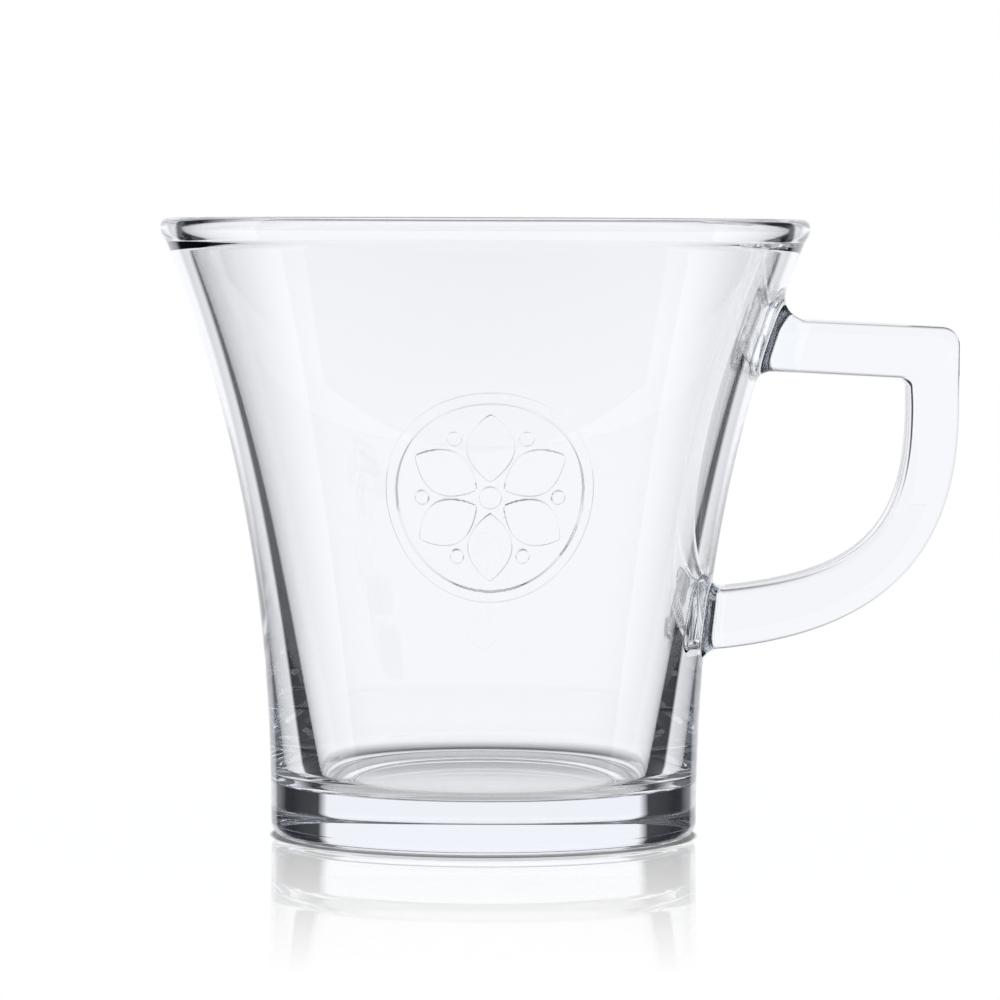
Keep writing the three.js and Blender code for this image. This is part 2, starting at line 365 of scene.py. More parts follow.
UPPER_ROOT_HEIGHT = HEIGHT - HANDLE_BELOW_RIM
LOWER_ROOT_HEIGHT = UPPER_ROOT_HEIGHT - ROOT_SPACING
upper_root = Root(
    UPPER_ROOT_HEIGHT, -UPPER_ARM_FALL, UPPER_ARM_THICKNESS, UPPER_SEAL_CROWN, UPPER_ROOT_ROW
)
lower_root = Root(
    LOWER_ROOT_HEIGHT, LOWER_ARM_RISE, LOWER_ARM_THICKNESS, LOWER_SEAL_CROWN, LOWER_ROOT_ROW
)
HANDLE_REACH = upper_root.centre.x + FINGER_GAP + SIDE_THICKNESS
AXIS_X = (RIM_RADIUS - HANDLE_REACH) / 2


def cup_profile():
    """The cup's section from the underside's middle, up the wall and back to the floor's middle."""
    foot = rounded_path(
        [
            ((0.0, RECESS_DEPTH), 0),
            ((RECESS_RADIUS - RECESS_SLOPE_WIDTH, RECESS_DEPTH), RECESS_TOP_ROUND),
            ((RECESS_RADIUS, 0.0), RECESS_EDGE_ROUND),
            ((FOOT_RADIUS, 0.0), FOOT_CORNER_RADIUS),
            ((outer_radius(WALL_START), WALL_START), 0),
        ],
        PROFILE_ROUND_STEPS,
    )
    wall = []
    for row in range(1, WALL_ROWS + 1):
        z = WALL_START + ROW_STEP * row
        wall.append(Vector((outer_radius(z), z)))
    inner_top = WALL_TOP - LIP_INNER_FALL
    band_foot = HEIGHT - LIP_ROUND_RADIUS - LIP_BAND_HEIGHT
    inner_rim_radius = RIM_RADIUS - LIP_WIDTH
    lip = rounded_path(
        [
            (wall[-1], 0),
            ((outer_radius(WALL_TOP), WALL_TOP), LIP_FOOT_ROUND),
            ((RIM_RADIUS, band_foot), LIP_BAND_ROUND),
            ((RIM_RADIUS, HEIGHT), LIP_ROUND_RADIUS),
            ((inner_rim_radius, HEIGHT), LIP_ROUND_RADIUS),
            ((inner_rim_radius, band_foot), LIP_INNER_BAND_ROUND),
            ((inner_radius(WALL_TOP), WALL_TOP), LIP_INNER_FOOT_ROUND),
            ((inner_radius(inner_top), inner_top), 0),
        ],
        PROFILE_ROUND_STEPS,
    )
    corner_top = FLOOR_THICKNESS + FLOOR_CORNER_HEIGHT
    inside = []
    for i in range(1, INSIDE_ROWS + 1):
        z = lerp(inner_top, corner_top, i / INSIDE_ROWS)
        inside.append(Vector((inner_radius(z), z)))
    for i in range(1, FLOOR_CORNER_ROWS + 1):
        angle = (i / FLOOR_CORNER_ROWS) * math.pi / 2
        z = corner_top - FLOOR_CORNER_HEIGHT * math.sin(angle)
        inside.append(Vector((inner_radius(z) - FLOOR_CORNER_WIDTH * (1 - math.cos(angle)), z)))
    edge = inside[-1]
    for k in range(FLOOR_RINGS - 1, -1, -1):
        inside.append(Vector((edge.x * k / FLOOR_RINGS, edge.y)))
    return foot + wall + lip[1:] + inside, len(foot) - 1


def profile_normals(profile):
    normals = []
    for i, spot in enumerate(profile):
        before = profile[max(i - 1, 0)]
        after = profile[min(i + 1, len(profile) - 1)]
        a = (spot - before).normalized() if i > 0 else Vector((0.0, 0.0))
        b = (after - spot).normalized() if i + 1 < len(profile) else Vector((0.0, 0.0))
        run = (a + b).normalized()
        normals.append(Vector((run.y, -run.x)))
    normals[0] = Vector((0.0, -1.0))
    normals[-1] = Vector((0.0, 1.0))
    return normals


def turn(column):
    return 2 * math.pi * column / COLUMNS


def row_height(row):
    return WALL_START + ROW_STEP * row


def wall_spot(angle, z):
    radius = outer_radius(z)
    return Vector((radius * math.cos(angle), radius * math.sin(angle), z))


def wall_normal(angle, z):
    slope = outer_slope(z)
    return Vector((math.cos(angle), math.sin(angle), -slope)).normalized()


def plateau(distance):
    """1 well inside an outline, 0 well outside it, with a soft edge between."""
    return smooth(0.5 - distance / ORNAMENT_EDGE)


def relief(u, v):
    """The height of a six-petal rosette in a ring, over a place on the unrolled wall."""
    reach = math.hypot(u, v)
    bearing = math.atan2(v, u)
    height = max(plateau(abs(reach - RING_RADIUS) - RING_HALF_WIDTH), plateau(reach - HUB_RADIUS))
    petal = (bearing - math.pi / 2) / PETAL_TURN
    off = (petal - round(petal)) * PETAL_TURN
    share = (reach * math.cos(off) - PETAL_START) / PETAL_LENGTH
    if 0.0 < share < 1.0:
        waist = PETAL_HALF_WIDTH * math.sin(math.pi * share) ** PETAL_POWER
        height = max(height, plateau(abs(reach * math.sin(off)) - waist))
    bead = bearing / PETAL_TURN
    aside = (bead - round(bead)) * PETAL_TURN
    gap = math.hypot(reach * math.cos(aside) - BEAD_REACH, reach * math.sin(aside)) - BEAD_RADIUS
    return ORNAMENT_RELIEF * max(height, plateau(gap))


ORNAMENT_ANGLE = turn(ORNAMENT_COLUMN)
ORNAMENT_HEIGHT = row_height(ORNAMENT_ROW)
ORNAMENT_RADIUS = outer_radius(ORNAMENT_HEIGHT)


def ornament_spot(angle, z):
    rise = relief(ORNAMENT_RADIUS * (angle - ORNAMENT_ANGLE), z - ORNAMENT_HEIGHT)
    return wall_spot(angle, z) + wall_normal(angle, z) * rise


def ornament_normal(angle, z):
    step = 0.03
    turn_step = step / ORNAMENT_RADIUS
    around = ornament_spot(angle + turn_step, z) - ornament_spot(angle - turn_step, z)
    upward = ornament_spot(angle, z + step) - ornament_spot(angle, z - step)
    return around.cross(upward).normalized()


def add_ornament(skin, grid, wall_first, edges):
    """A fine grid in place of the coarse wall cells, with its border kept in edges."""
    first_column = ORNAMENT_COLUMN - ORNAMENT_HALF_COLUMNS
    first_row = ORNAMENT_ROW - ORNAMENT_HALF_ROWS
    columns = 2 * ORNAMENT_HALF_COLUMNS * ORNAMENT_SPLIT
    rows = 2 * ORNAMENT_HALF_ROWS * ORNAMENT_SPLIT
    fine = []
    normals = []
    for i in range(rows + 1):
        z = row_height(first_row + i / ORNAMENT_SPLIT)
        line = []
        line_normals = []
        for j in range(columns + 1):
            angle = turn(first_column + j / ORNAMENT_SPLIT)
            on_row = i % ORNAMENT_SPLIT == 0
            on_column = j % ORNAMENT_SPLIT == 0
            border = i in (0, rows) or j in (0, columns)
            if border and on_row and on_column:
                row = wall_first + first_row + i // ORNAMENT_SPLIT
                line.append(grid[row][first_column + j // ORNAMENT_SPLIT])
            else:
                line.append(skin.point(ornament_spot(angle, z)))
            line_normals.append(ornament_normal(angle, z))
        fine.append(line)
        normals.append(line_normals)
    for i in range(rows):
        for j in range(columns):
            corners = ((i, j), (i, j + 1), (i + 1, j + 1), (i + 1, j))
            skin.face([fine[a][b] for a, b in corners], [normals[a][b] for a, b in corners])

    def keep(line, line_normals):
        for k in range(0, len(line) - 1, ORNAMENT_SPLIT):
            end = k + ORNAMENT_SPLIT
            inner = list(zip(line[k + 1 : end], line_normals[k + 1 : end]))
            edges[(line[k], line[end])] = inner
            edges[(line[end], line[k])] = inner[::-1]

    keep(fine[0], normals[0])
    keep(fine[-1], normals[-1])
    keep([line[0] for line in fine], [line[0] for line in normals])
    keep([line[-1] for line in fine], [line[-1] for line in normals])
    return range(first_row, first_row + 2 * ORNAMENT_HALF_ROWS), range(
        first_column, first_column + 2 * ORNAMENT_HALF_COLUMNS
    )


def add_root_window(skin, grid, wall_first, root):
    """Rings of wall faces between the coarse grid and a seal's footprint, and the fused patch in it."""
    low = root.middle_row - WINDOW_ROWS // 2
    high = low + WINDOW_ROWS
    border = [(high, c) for c in range(0, WINDOW_COLUMNS)]
    border += [(r, WINDOW_COLUMNS) for r in range(high, low, -1)]
    border += [(low, c) for c in range(WINDOW_COLUMNS, -WINDOW_COLUMNS, -1)]
    border += [(r, -WINDOW_COLUMNS) for r in range(low, high)]
    border += [(high, c) for c in range(-WINDOW_COLUMNS, 0)]
    outline = footprint(root)
    count = len(outline)
    spots = []
    for along, across in outline:
        spot = root.wall_place(along, across)
        spots.append((math.atan2(spot.y, spot.x), spot.z))
    rings = [[grid[wall_first + r][c % COLUMNS] for r, c in border]]
    ring_normals = [[wall_normal(turn(c), row_height(r)) for r, c in border]]
    for k in range(1, WINDOW_RINGS + 1):
        share = lerp(k / WINDOW_RINGS, smooth(k / WINDOW_RINGS), WINDOW_EASE)
        ring = []
        normals = []
        for (r, c), (angle, z) in zip(border, spots):
            a = lerp(turn(c), angle, share)
            h = lerp(row_height(r), z, share)
            ring.append(skin.point(wall_spot(a, h)))
            normals.append(wall_normal(a, h))
        rings.append(ring)
        ring_normals.append(normals)
    for k in range(1, PATCH_RINGS):
        share = 1.0 - k / PATCH_RINGS
        ring = []
        normals = []
        for along, across in outline:
            spot = root.wall_place(along * share, across * share)
            ring.append(skin.point(spot))
            normals.append(wall_normal(math.atan2(spot.y, spot.x), spot.z))
        rings.append(ring)
        ring_normals.append(normals)
    for k in range(len(rings) - 1):
        joint = 1.0 if k >= WINDOW_RINGS else 0.0
        for i in range(count):
            n = (i + 1) % count
            skin.face(
                [rings[k][i], rings[k + 1][i], rings[k + 1][n], rings[k][n]],
                [ring_normals[k][i], ring_normals[k + 1][i], ring_normals[k + 1][n], ring_normals[k][n]],
                joint,
            )
    middle = skin.point(root.wall_place(0.0, 0.0))
    middle_normal = wall_normal(0.0, root.centre.y)
    for i in range(count):
        n = (i + 1) % count
        skin.face(
            [rings[-1][i], middle, rings[-1][n]],
            [ring_normals[-1][i], middle_normal, ring_normals[-1][n]],
            1.0,
        )
    return range(low, high), [c % COLUMNS for c in range(-WINDOW_COLUMNS, WINDOW_COLUMNS)]


def cup_skin():
    skin = Skin()
    profile, wall_first = cup_profile()
    normals = profile_normals(profile)
    grid = []
    for spot in profile:
        if spot.x < SAME_POINT:
            grid.append([skin.point(Vector((0.0, 0.0, spot.y)))] * COLUMNS)
            continue
        line = []
        for column in range(COLUMNS):
            angle = turn(column)
            line.append(skin.point(Vector((spot.x * math.cos(angle), spot.x * math.sin(angle), spot.y))))
        grid.append(line)

    def normal(row, column):
        angle = turn(column)
        flat = normals[row]
        return Vector((flat.x * math.cos(angle), flat.x * math.sin(angle), flat.y))

    edges = {}
    cut = set()
    windows = [add_ornament(skin, grid, wall_first, edges)]
    windows += [add_root_window(skin, grid, wall_first, root) for root in (upper_root, lower_root)]
    for rows, columns in windows:
        cut.update((wall_first + row, column) for row in rows for column in columns)
    for row in range(len(profile) - 1):
        for column in range(COLUMNS):
            if (row, column) in cut:
                continue
            after = (column + 1) % COLUMNS
            around = [(row, column), (row, after), (row + 1, after), (row + 1, column)]
            corners = []
            corner_normals = []
            for k, (r, c) in enumerate(around):
                here = grid[r][c]
                if corners and here in (corners[-1], corners[0]):
                    continue
                corners.append(here)
                corner_normals.append(normal(r, c))
                r2, c2 = around[(k + 1) % 4]
                for extra, extra_normal in edges.get((here, grid[r2][c2]), ()):
                    corners.append(extra)
                    corner_normals.append(extra_normal)
            skin.face(corners, corner_normals)
    return skin


def bezier(points, t):
    a, b, c, d = points
    s = 1 - t
    return a * s**3 + b * (3 * s * s * t) + c * (3 * s * t * t) + d * t**3


def bezier_run(points, t):
    a, b, c, d = points
    s = 1 - t
    return ((b - a) * (3 * s * s) + (c - b) * (6 * s * t) + (d - c) * (3 * t * t)).normalized()


def bend_points(side_x, top_z, end, fullness):
    run = fullness[1] * (side_x - end.x)
    first = Vector((side_x, top_z - fullness[0] * (top_z - end.y)))
    second = Vector((end.x + run, end.y + math.tan(LOWER_ARM_RISE) * run))
    return [Vector((side_x, top_z)), first, second, end]


def seal_reach(root, spot):
    """How far a place lies out of the wall's tangent plane at a root."""
    return (spot - root.centre).dot(root.normal)


def handle_sections():
    """Pairs of an outer and an inner place, each with the outline's normal there."""
    fall = math.tan(UPPER_ARM_FALL)
    half = UPPER_ARM_THICKNESS / 2 / math.cos(UPPER_ARM_FALL)
    lower_half = LOWER_ARM_THICKNESS / 2 / math.cos(LOWER_ARM_RISE)
    inner_x = HANDLE_REACH - SIDE_THICKNESS
    run = Vector((math.cos(UPPER_ARM_FALL), -math.sin(UPPER_ARM_FALL)))
    up = Vector((-run.y, run.x))

    def arm_height(x):
        return upper_root.centre.y - fall * (x - upper_root.centre.x)

    outer_corner = Vector((HANDLE_REACH, arm_height(HANDLE_REACH) + half))
    inner_corner = Vector((inner_x, arm_height(inner_x) - half))
    bend_top = inner_corner.y - BEND_BELOW_ARM
    joint = upper_root.length + FUSED_GAP

    def from_seal(corner):
        reach = (seal_reach(upper_root, corner) - joint) / run.dot(upper_root.normal)
        return corner - run * reach

    def corner_arc(corner, radius):
        down = Vector((0.0, -1.0))
        half_angle = (-run).angle(down) / 2
        reach = radius / math.tan(half_angle)
        centre = corner + (down - run).normalized() * (radius / math.sin(half_angle))
        start = corner - run * reach
        end = corner + down * reach
        return start, end, centre

    sections = []
    outer_start, outer_end, outer_centre = corner_arc(outer_corner, OUTER_CORNER_RADIUS)
    inner_start, inner_end, inner_centre = corner_arc(inner_corner, INNER_CORNER_RADIUS)
    for i in range(ARM_STEPS):
        share = i / ARM_STEPS
        outer = from_seal(outer_corner).lerp(outer_start, share)
        inner = from_seal(inner_corner).lerp(inner_start, share)
        sections.append((outer, up, inner, -up))
    for i in range(HANDLE_CORNER_STEPS):
        share = i / HANDLE_CORNER_STEPS
        outer_spoke = (outer_start - outer_centre).slerp(outer_end - outer_centre, share)
        inner_spoke = (inner_start - inner_centre).slerp(inner_end - inner_centre, share)
        outer = outer_centre + outer_spoke * OUTER_CORNER_RADIUS
        inner = inner_centre + inner_spoke * INNER_CORNER_RADIUS
        sections.append((outer, outer_spoke, inner, -inner_spoke))
    half_rise = Vector((0.0, lower_half))
    outer_bend = bend_points(HANDLE_REACH, bend_top, lower_root.centre - half_rise, OUTER_BEND)
    inner_bend = bend_points(inner_x, bend_top, lower_root.centre + half_rise, INNER_BEND)
    side = Vector((1.0, 0.0))
    for i in range(SIDE_STEPS):
        outer = outer_end.lerp(outer_bend[0], i / SIDE_STEPS)
        inner = inner_end.lerp(inner_bend[0], i / SIDE_STEPS)
        sections.append((outer, side, inner, -side))

    def last_share(points):
        low, high = 0.5, 1.0
        for _ in range(END_SEARCH_STEPS):
            middle = (low + high) / 2
            if seal_reach(lower_root, bezier(points, middle)) > lower_root.length + FUSED_GAP:
                low = middle
            else:
                high = middle
        return low

    outer_last = last_share(outer_bend)
    inner_last = last_share(inner_bend)
    for i in range(BEND_STEPS + 1):
        a = outer_last * i / BEND_STEPS
        b = inner_last * i / BEND_STEPS
        outer_run = bezier_run(outer_bend, a)
        inner_run = bezier_run(inner_bend, b)
        sections.append(
            (
                bezier(outer_bend, a),
                Vector((-outer_run.y, outer_run.x)),
                bezier(inner_bend, b),
                Vector((inner_run.y, -inner_run.x)),
            )
        )
    return sections


def section_ring(outer, outer_normal, inner, inner_normal):
    """The places and normals around one section of the handle."""
    middle = (outer + inner) / 2
    across = (outer - inner) / 2
    places = []
    normals = []
    for along, depth, angle in section(across.length):
        flat = middle + across.normalized() * along
        places.append(Vector((flat.x, depth, flat.y)))
        lean = outer_normal if math.cos(angle) > 0 else inner_normal
        flat_normal = lean * abs(math.cos(angle))
        normals.append(Vector((flat_normal.x, math.sin(angle), flat_normal.y)).normalized())
    return places, normals


def add_cap(skin, ring, places, normal, flip):
    """A flat fused end on a ring of points."""
    count = len(ring)
    centre = sum(places, Vector((0.0, 0.0, 0.0))) / count
    shrunk = [skin.point(centre.lerp(p, CAP_RING)) for p in places]
    middle = skin.point(centre)
    for i in range(count):
        n = (i + 1) % count
        outer_face = [ring[i], ring[n], shrunk[n], shrunk[i]]
        inner_face = [shrunk[i], shrunk[n], middle]
        for face in (outer_face, inner_face):
            corners = face[::-1] if flip else face
            skin.face(corners, [normal] * len(corners), 1.0)


def handle_skin(sections):
    skin = Skin()
    rings = []
    ring_normals = []
    ring_places = []
    for outer, outer_normal, inner, inner_normal in sections:
        places, normals = section_ring(outer, outer_normal, inner, inner_normal)
        rings.append([skin.point(p) for p in places])
        ring_normals.append(normals)
        ring_places.append(places)
    count = len(rings[0])
    for k in range(len(rings) - 1):
        for i in range(count):
            n = (i + 1) % count
            corners = ((k, i), (k + 1, i), (k + 1, n), (k, n))
            skin.face([rings[a][b] for a, b in corners], [ring_normals[a][b] for a, b in corners])
    for root, end, flip in ((upper_root, 0, False), (lower_root, -1, True)):
        normal = Vector((-root.normal.x, 0.0, -root.normal.y))
        add_cap(skin, rings[end], ring_places[end], normal, flip)
    return skin


def seal_skin(root, top, bottom, top_normal, bottom_normal):
    """A seal from its footprint on the wall to the handle's end, whose top and bottom are given."""
    skin = Skin()
    base = section(root.half)
    end_half = (top - bottom).length / 2
    end = section(end_half)
    end_middle = (top + bottom) / 2 - root.centre
    end_along = end_middle.dot(root.tangent)
    places = []
    for k in range(SEAL_RINGS + 1):
        share = k / SEAL_RINGS
        lift = root.length * share**SEAL_RING_POWER
        part = lift / root.length
        ring = []
        for (along, across, angle), (along2, across2, _) in zip(base, end):
            grow = root.fillet(angle, lift)
            a = lerp(along, along2, part) + grow * math.cos(angle)
            c = lerp(across, across2, part) + grow * math.sin(angle)
            out = lift + (1 - part) * root.wall_out(a, c) + (1 - part) * FUSED_GAP
            ring.append(root.place(a + part * end_along, c, out))
        places.append(ring)
    count = len(base)
    normals = []
    for k in range(SEAL_RINGS + 1):
        line = []
        for i in range(count):
            around = places[k][(i + 1) % count] - places[k][i - 1]
            outward = places[min(k + 1, SEAL_RINGS)][i] - places[max(k - 1, 0)][i]
            line.append(outward.cross(around).normalized())
        normals.append(line)
    for i in range(count):
        foot = places[0][i]
        normals[0][i] = wall_normal(math.atan2(foot.y, foot.x), foot.z)
        angle = base[i][2]
        lean = top_normal if math.cos(angle) > 0 else bottom_normal
        flat = lean * abs(math.cos(angle))
        normals[-1][i] = Vector((flat.x, math.sin(angle), flat.y)).normalized()
    rings = [[skin.point(p) for p in ring] for ring in places]
    for k in range(SEAL_RINGS):
        for i in range(count):
            n = (i + 1) % count
            corners = ((k, i), (k + 1, i), (k + 1, n), (k, n))
            skin.face([rings[a][b] for a, b in corners], [normals[a][b] for a, b in corners])
    cap_normal = Vector((root.normal.x, 0.0, root.normal.y))
    add_cap(skin, rings[-1], places[-1], cap_normal, True)
    outline = footprint(root)
    inner_rings = [rings[0]]
    for k in range(1, PATCH_RINGS):
        share = 1.0 - k / PATCH_RINGS
        spots = [root.wall_place(a * share, c * share, FUSED_GAP) for a, c in outline]
        inner_rings.append([skin.point(spot) for spot in spots])

    def inward(index):
        spot = skin.points[index]
        return -wall_normal(math.atan2(spot.y, spot.x), spot.z)

    for k in range(PATCH_RINGS - 1):
        for i in range(count):
            n = (i + 1) % count
            outer, inner = inner_rings[k], inner_rings[k + 1]
            corners = [outer[i], outer[n], inner[n], inner[i]]
            skin.face(corners, [inward(c) for c in corners], 1.0)
    middle = skin.point(root.wall_place(0.0, 0.0, FUSED_GAP))
    for i in range(count):
        n = (i + 1) % count
        corners = [middle, inner_rings[-1][i], inner_rings[-1][n]]
        skin.face(corners, [inward(c) for c in corners], 1.0)
    return skin


def node_of(tree, kind, inputs=(), **settings):
    """A new node with settings, whose inputs are plain values or outputs of other nodes."""
    node = tree.nodes.new(kind)
    for name, value in settings.items():
        setattr(node, name, value)
    for socket, value in inputs:
        if isinstance(value, bpy.types.NodeSocket):
            tree.links.new(value, node.inputs[socket])
        else:
            node.inputs[socket].default_value = value
    return node


def maths(tree, operation, *values):
    return node_of(tree, "ShaderNodeMath", list(enumerate(values)), operation=operation).outputs[0]


def bare_material(name):
    material = bpy.data.materials.new(name)
    material.use_nodes = True
    material.cycles.emission_sampling = "NONE"
    tree = material.node_tree
    tree.nodes.remove(tree.nodes["Principled BSDF"])
    return material, tree, tree.nodes["Material Output"].inputs["Surface"]


def remap(tree, value, start, end, low, high):
    """A value taken from one span to another and kept inside it."""
    names = ("Value", "From Min", "From Max", "To Min", "To Max")
    inputs = list(zip(names, (value, start, end, low, high)))
    return node_of(tree, "ShaderNodeMapRange", inputs).outputs[0]


def noise(tree, place, scale, detail):
    inputs = [("Vector", place), ("Scale", scale), ("Detail", detail)]
    return node_of(tree, "ShaderNodeTexNoise", inputs).outputs["Fac"]


def glass_material(name, tint, density):
    """Pressed glass: slightly wavy, with faint smears and a worn ring under the foot."""
    material = bpy.data.materials.new(name)
    material.use_nodes = True
    tree = material.node_tree
    shader = tree.nodes["Principled BSDF"]
    shader.inputs["Base Color"].default_value = WHITE
    shader.inputs["Transmission Weight"].default_value = 1.0
    fused = node_of(tree, "ShaderNodeAttribute", attribute_name="joint").outputs["Fac"]
    tree.links.new(remap(tree, fused, 0.0, 1.0, GLASS_INDEX, 1.0), shader.inputs["IOR"])
    place = node_of(tree, "ShaderNodeTexCoord").outputs["Object"]
    wave = noise(tree, place, WAVE_SCALE, 0.0)
    heights = [("Strength", 1.0), ("Distance", WAVE_HEIGHT), ("Height", wave)]
    tree.links.new(node_of(tree, "ShaderNodeBump", heights).outputs["Normal"], shader.inputs["Normal"])
    film = noise(tree, place, FILM_SCALE, FILM_DETAIL)
    smear = remap(tree, film, *FILM_SPAN, 0.0, FILM_ROUGHNESS)
    low = node_of(tree, "ShaderNodeSeparateXYZ", [("Vector", place)]).outputs["Z"]
    worn = remap(tree, low, 0.0, WEAR_HEIGHT * MM, WEAR_ROUGHNESS, 0.0)
    scuff = maths(tree, "MULTIPLY", worn, maths(tree, "GREATER_THAN", film, FILM_SPAN[0]))
    tree.links.new(maths(tree, "ADD", smear, scuff), shader.inputs["Roughness"])
    inside = node_of(tree, "ShaderNodeVolumeAbsorption", [("Color", tint), ("Density", density)])
    tree.links.new(inside.outputs["Volume"], tree.nodes["Material Output"].inputs["Volume"])
    return material


def table_material():
    """A lit glossy table: pale to the eye, and nearly a mirror to light that comes through glass. A thin
    painted contact shadow lies round the foot, and under the foot a dim painted glow is seen through the
    glass.
    """
    material, tree, surface = bare_material("pale_table")
    place = node_of(tree, "ShaderNodeTexCoord").outputs["Object"]
    level = [(0, place), (1, (1.0, 1.0, 0.0))]
    flat = node_of(tree, "ShaderNodeVectorMath", level, operation="MULTIPLY").outputs[0]
    away = node_of(tree, "ShaderNodeVectorMath", [(0, flat)], operation="LENGTH").outputs["Value"]
    seen_gloss = remap(tree, away, FOOT_RADIUS * MM, TABLE_FADE * MM, *TABLE_MIRROR_SEEN)
    mirrored = maths(tree, "MULTIPLY", seen_gloss, TENT_TONES[0][1][1])
    seen_glow = maths(tree, "SUBTRACT", 1.0, mirrored)
    # Painted glow under the foot, seen only through glass
    under = (away, TABLE_UNDER[0] * MM, TABLE_UNDER[1] * MM)
    through_gloss = remap(tree, *under, *TABLE_MIRROR_THROUGH_GLASS)
    through_glow = remap(tree, *under, *TABLE_GLOW_THROUGH_GLASS)
    # Painted contact shadow round the foot: darkens both the table's glow and its mirror to the eye
    painted_shadow = remap(tree, away, TABLE_PAINTED_SHADOW[0] * MM, TABLE_PAINTED_SHADOW[1] * MM, TABLE_PAINTED_SHADOW_TONE, 1.0)
    seen_gloss = maths(tree, "MULTIPLY", seen_gloss, painted_shadow)
    seen_glow = maths(tree, "MULTIPLY", seen_glow, painted_shadow)
    camera = node_of(tree, "ShaderNodeLightPath").outputs["Is Camera Ray"]
    gloss_share = remap(tree, camera, 0.0, 1.0, through_gloss, seen_gloss)
    glow_share = remap(tree, camera, 0.0, 1.0, through_glow, seen_glow)
    grey = node_of(tree, "ShaderNodeCombineColor", [(i, gloss_share) for i in range(3)])
    sheen = [("Color", grey.outputs[0]), ("Roughness", TABLE_ROUGHNESS)]
    gloss = node_of(tree, "ShaderNodeBsdfGlossy", sheen)
    glow = node_of(tree, "ShaderNodeEmission", [("Color", WHITE), ("Strength", glow_share)])
    both = node_of(tree, "ShaderNodeAddShader", [(0, glow.outputs[0]), (1, gloss.outputs[0])])
    tree.links.new(both.outputs[0], surface)
    return material


def blend(tree, share, first, second):
    """A colour between two others."""
    colours = [("Factor", share), (6, first), (7, second)]
    return node_of(tree, "ShaderNodeMix", colours, data_type="RGBA").outputs[2]


def tone_ramp(tree, share, tones):
    """Colours along a quarter turn, given at angles in degrees."""
    ramp = node_of(tree, "ShaderNodeValToRGB", [("Fac", share)])
    stops = ramp.color_ramp.elements
    for i, (degrees, colour) in enumerate(tones):
        stop = stops[i] if i < 2 else stops.new(1.0)
        stop.position = degrees / 90.0
        stop.color = (*colour, 1.0)
    return ramp.outputs["Color"]


def last_off_table(tree, path):
    """1 for light last mirrored by the table, which is less sharp a mirror than glass."""
    return maths(tree, "SUBTRACT", 1.0, path.outputs["Is Singular Ray"])


def off_table(tree, path):
    """1 for light that comes to the eye by the table alone, 0 for all other light."""
    first = maths(tree, "LESS_THAN", path.outputs["Ray Depth"], SECOND)
    return maths(tree, "MULTIPLY", first, last_off_table(tree, path))


def tent_material():
    """White studio walls with a dark upright strip at each side of the back, seen only in glass."""
    material, tree, surface = bare_material("studio_tent")
    place = node_of(tree, "ShaderNodeTexCoord").outputs["Object"]
    axes = node_of(tree, "ShaderNodeSeparateXYZ", [("Vector", place)])
    x = maths(tree, "ABSOLUTE", axes.outputs["X"])
    y = maths(tree, "ABSOLUTE", axes.outputs["Y"])
    turn_share = maths(tree, "DIVIDE", maths(tree, "ARCTAN2", x, y), math.pi / 2)
    through_tone = tone_ramp(tree, turn_share, TENT_TONES)
    mirrored_tone = tone_ramp(tree, turn_share, MIRRORED_TONES)
    path = node_of(tree, "ShaderNodeLightPath")
    depth = path.outputs["Transmission Depth"]
    crossed = maths(tree, "GREATER_THAN", depth, FOURTH)
    deep = maths(tree, "MULTIPLY", crossed, TENT_CLEARING)
    above = remap(tree, axes.outputs["Z"], STRIP_TOP[0] * MM, STRIP_TOP[1] * MM, 0.0, 1.0)
    by_table = last_off_table(tree, path)
    straight = maths(tree, "LESS_THAN", path.outputs["Glossy Depth"], SECOND)
    above = maths(tree, "MULTIPLY", above, maths(tree, "MULTIPLY", by_table, straight))
    outside = maths(tree, "LESS_THAN", depth, FIRST)
    in_front = maths(tree, "LESS_THAN", axes.outputs["Y"], 0.0)
    white = (*TENT_TONES[0][1], 1.0)
    through = blend(tree, maths(tree, "MAXIMUM", deep, above), through_tone, white)
    turns = maths(tree, "SUBTRACT", path.outputs["Glossy Depth"], by_table)
    turned_back = maths(tree, "SUBTRACT", maths(tree, "GREATER_THAN", turns, FIRST), crossed)
    front = blend(tree, turned_back, FRONT_COLOUR, FRONT_SHADE)
    through = blend(tree, in_front, through, front)
    mirrored = blend(tree, in_front, mirrored_tone, (ROOM_TONE, ROOM_TONE, ROOM_TONE, 1.0))
    mirrored = blend(tree, off_table(tree, path), mirrored, white)
    seen = blend(tree, outside, through, mirrored)
    fade = remap(tree, axes.outputs["Z"], TENT_FADE[0] * MM, TENT_FADE[1] * MM, 1.0, CEILING_TONE)
    strength = remap(tree, outside, 0.0, 1.0, fade, 1.0)
    glow = node_of(tree, "ShaderNodeEmission", [("Color", seen), ("Strength", strength)])
    tree.links.new(glow.outputs[0], surface)
    return material


def stage_piece(name, spots, faces, material):
    """A piece of the studio around the cup's axis, from places in millimetres."""
    mesh = bpy.data.meshes.new(name)
    mesh.from_pydata([tuple(c * MM for c in spot) for spot in spots], [], faces)
    mesh.materials.append(material)
    piece = bpy.data.objects.new(name, mesh)
    piece.location.x = AXIS_X * MM
    bpy.context.scene.collection.objects.link(piece)
    return piece


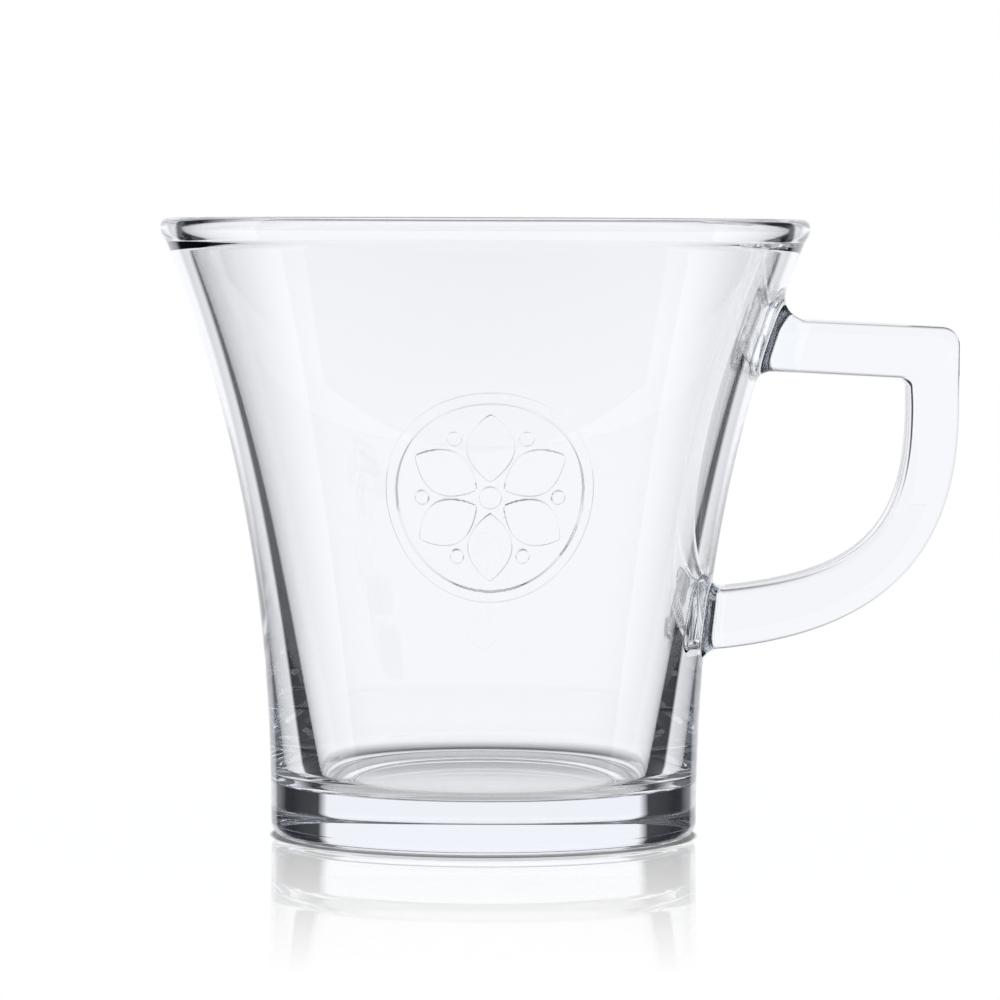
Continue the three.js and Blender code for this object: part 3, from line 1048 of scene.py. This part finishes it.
def add_studio():
    scene = bpy.context.scene
    world = bpy.data.worlds.new("studio")
    scene.world = world
    world.use_nodes = True
    tree = world.node_tree
    path = node_of(tree, "ShaderNodeLightPath")
    inside = maths(tree, "GREATER_THAN", path.outputs["Transmission Depth"], FIRST)
    around = remap(tree, inside, 0.0, 1.0, ROOM_TONE, CEILING_TONE)
    bare = maths(tree, "MAXIMUM", path.outputs["Is Camera Ray"], off_table(tree, path))
    level = remap(tree, bare, 0.0, 1.0, around, 1.0)
    tree.links.new(level, tree.nodes["Background"].inputs["Strength"])
    world.cycles.sampling_method = "NONE"
    tree.nodes["Background"].inputs["Color"].default_value = WHITE
    signs = ((-1, -1), (1, -1), (1, 1), (-1, 1))
    corners = [(x * TABLE_HALF, y * TABLE_HALF, -TABLE_DROP) for x, y in signs]
    stage_piece("table", corners, [(0, 1, 2, 3)], table_material())
    ring = [turn(c) for c in range(0, COLUMNS, 2)]
    spots = []
    for z in TENT_SPAN:
        spots += [(math.cos(a) * TENT_RADIUS, math.sin(a) * TENT_RADIUS, z) for a in ring]
    count = len(ring)
    walls = [(i, (i + 1) % count, count + (i + 1) % count, count + i) for i in range(count)]
    tent = stage_piece("tent", spots, walls, tent_material())
    tent.visible_camera = False
    tent.visible_shadow = False
    scene.view_settings.view_transform = "Standard"
    scene.view_settings.look = "None"
    scene.cycles.max_bounces = LIGHT_TURNS
    scene.cycles.transmission_bounces = LIGHT_TURNS
    scene.cycles.glossy_bounces = MIRROR_TURNS
    scene.cycles.use_denoising = True


def add_camera():
    data = bpy.data.cameras.new("camera")
    data.lens = CAMERA_LENS
    data.sensor_width = CAMERA_SENSOR
    data.clip_start = CAMERA_NEAR * MM
    camera = bpy.data.objects.new("camera", data)
    camera.location = ((AXIS_X + CAMERA_ASIDE) * MM, -CAMERA_AWAY * MM, CAMERA_HEIGHT * MM)
    camera.rotation_euler = (math.pi / 2 - CAMERA_DIP, CAMERA_ROLL, 0.0)
    bpy.context.scene.collection.objects.link(camera)
    bpy.context.scene.camera = camera


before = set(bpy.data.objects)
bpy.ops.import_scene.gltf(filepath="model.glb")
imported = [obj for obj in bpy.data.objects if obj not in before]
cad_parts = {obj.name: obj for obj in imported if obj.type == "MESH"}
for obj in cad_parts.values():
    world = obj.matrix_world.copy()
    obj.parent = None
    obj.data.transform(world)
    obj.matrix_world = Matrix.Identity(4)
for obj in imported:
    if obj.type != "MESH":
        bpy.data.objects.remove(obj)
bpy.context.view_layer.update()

sections = handle_sections()
clear_glass = glass_material("clear_glass", CUP_TINT, CUP_DENSITY)
handle_glass = glass_material("handle_glass", CUP_TINT, CUP_DENSITY)
seal_glass = glass_material("seal_glass", SEAL_TINT, SEAL_DENSITY)
cup = cup_skin().build("cup", AXIS_X, clear_glass)
handle = handle_skin(sections).build("grip", AXIS_X, handle_glass)
first, last = sections[0], sections[-1]
upper_seal = seal_skin(upper_root, first[0], first[2], first[1], first[3]).build(
    "upper_joint", AXIS_X, seal_glass
)
lower_seal = seal_skin(lower_root, last[2], last[0], last[3], last[1]).build(
    "lower_joint", AXIS_X, seal_glass
)

for piece, node, slot in (
    (cup, "mug_body", "clear_glass"),
    (handle, "handle", "handle_glass"),
    (upper_seal, "upper_seal", "seal_glass"),
    (lower_seal, "lower_seal", "seal_glass"),
):
    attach(piece, "root")
    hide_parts(node)

add_studio()
add_camera()
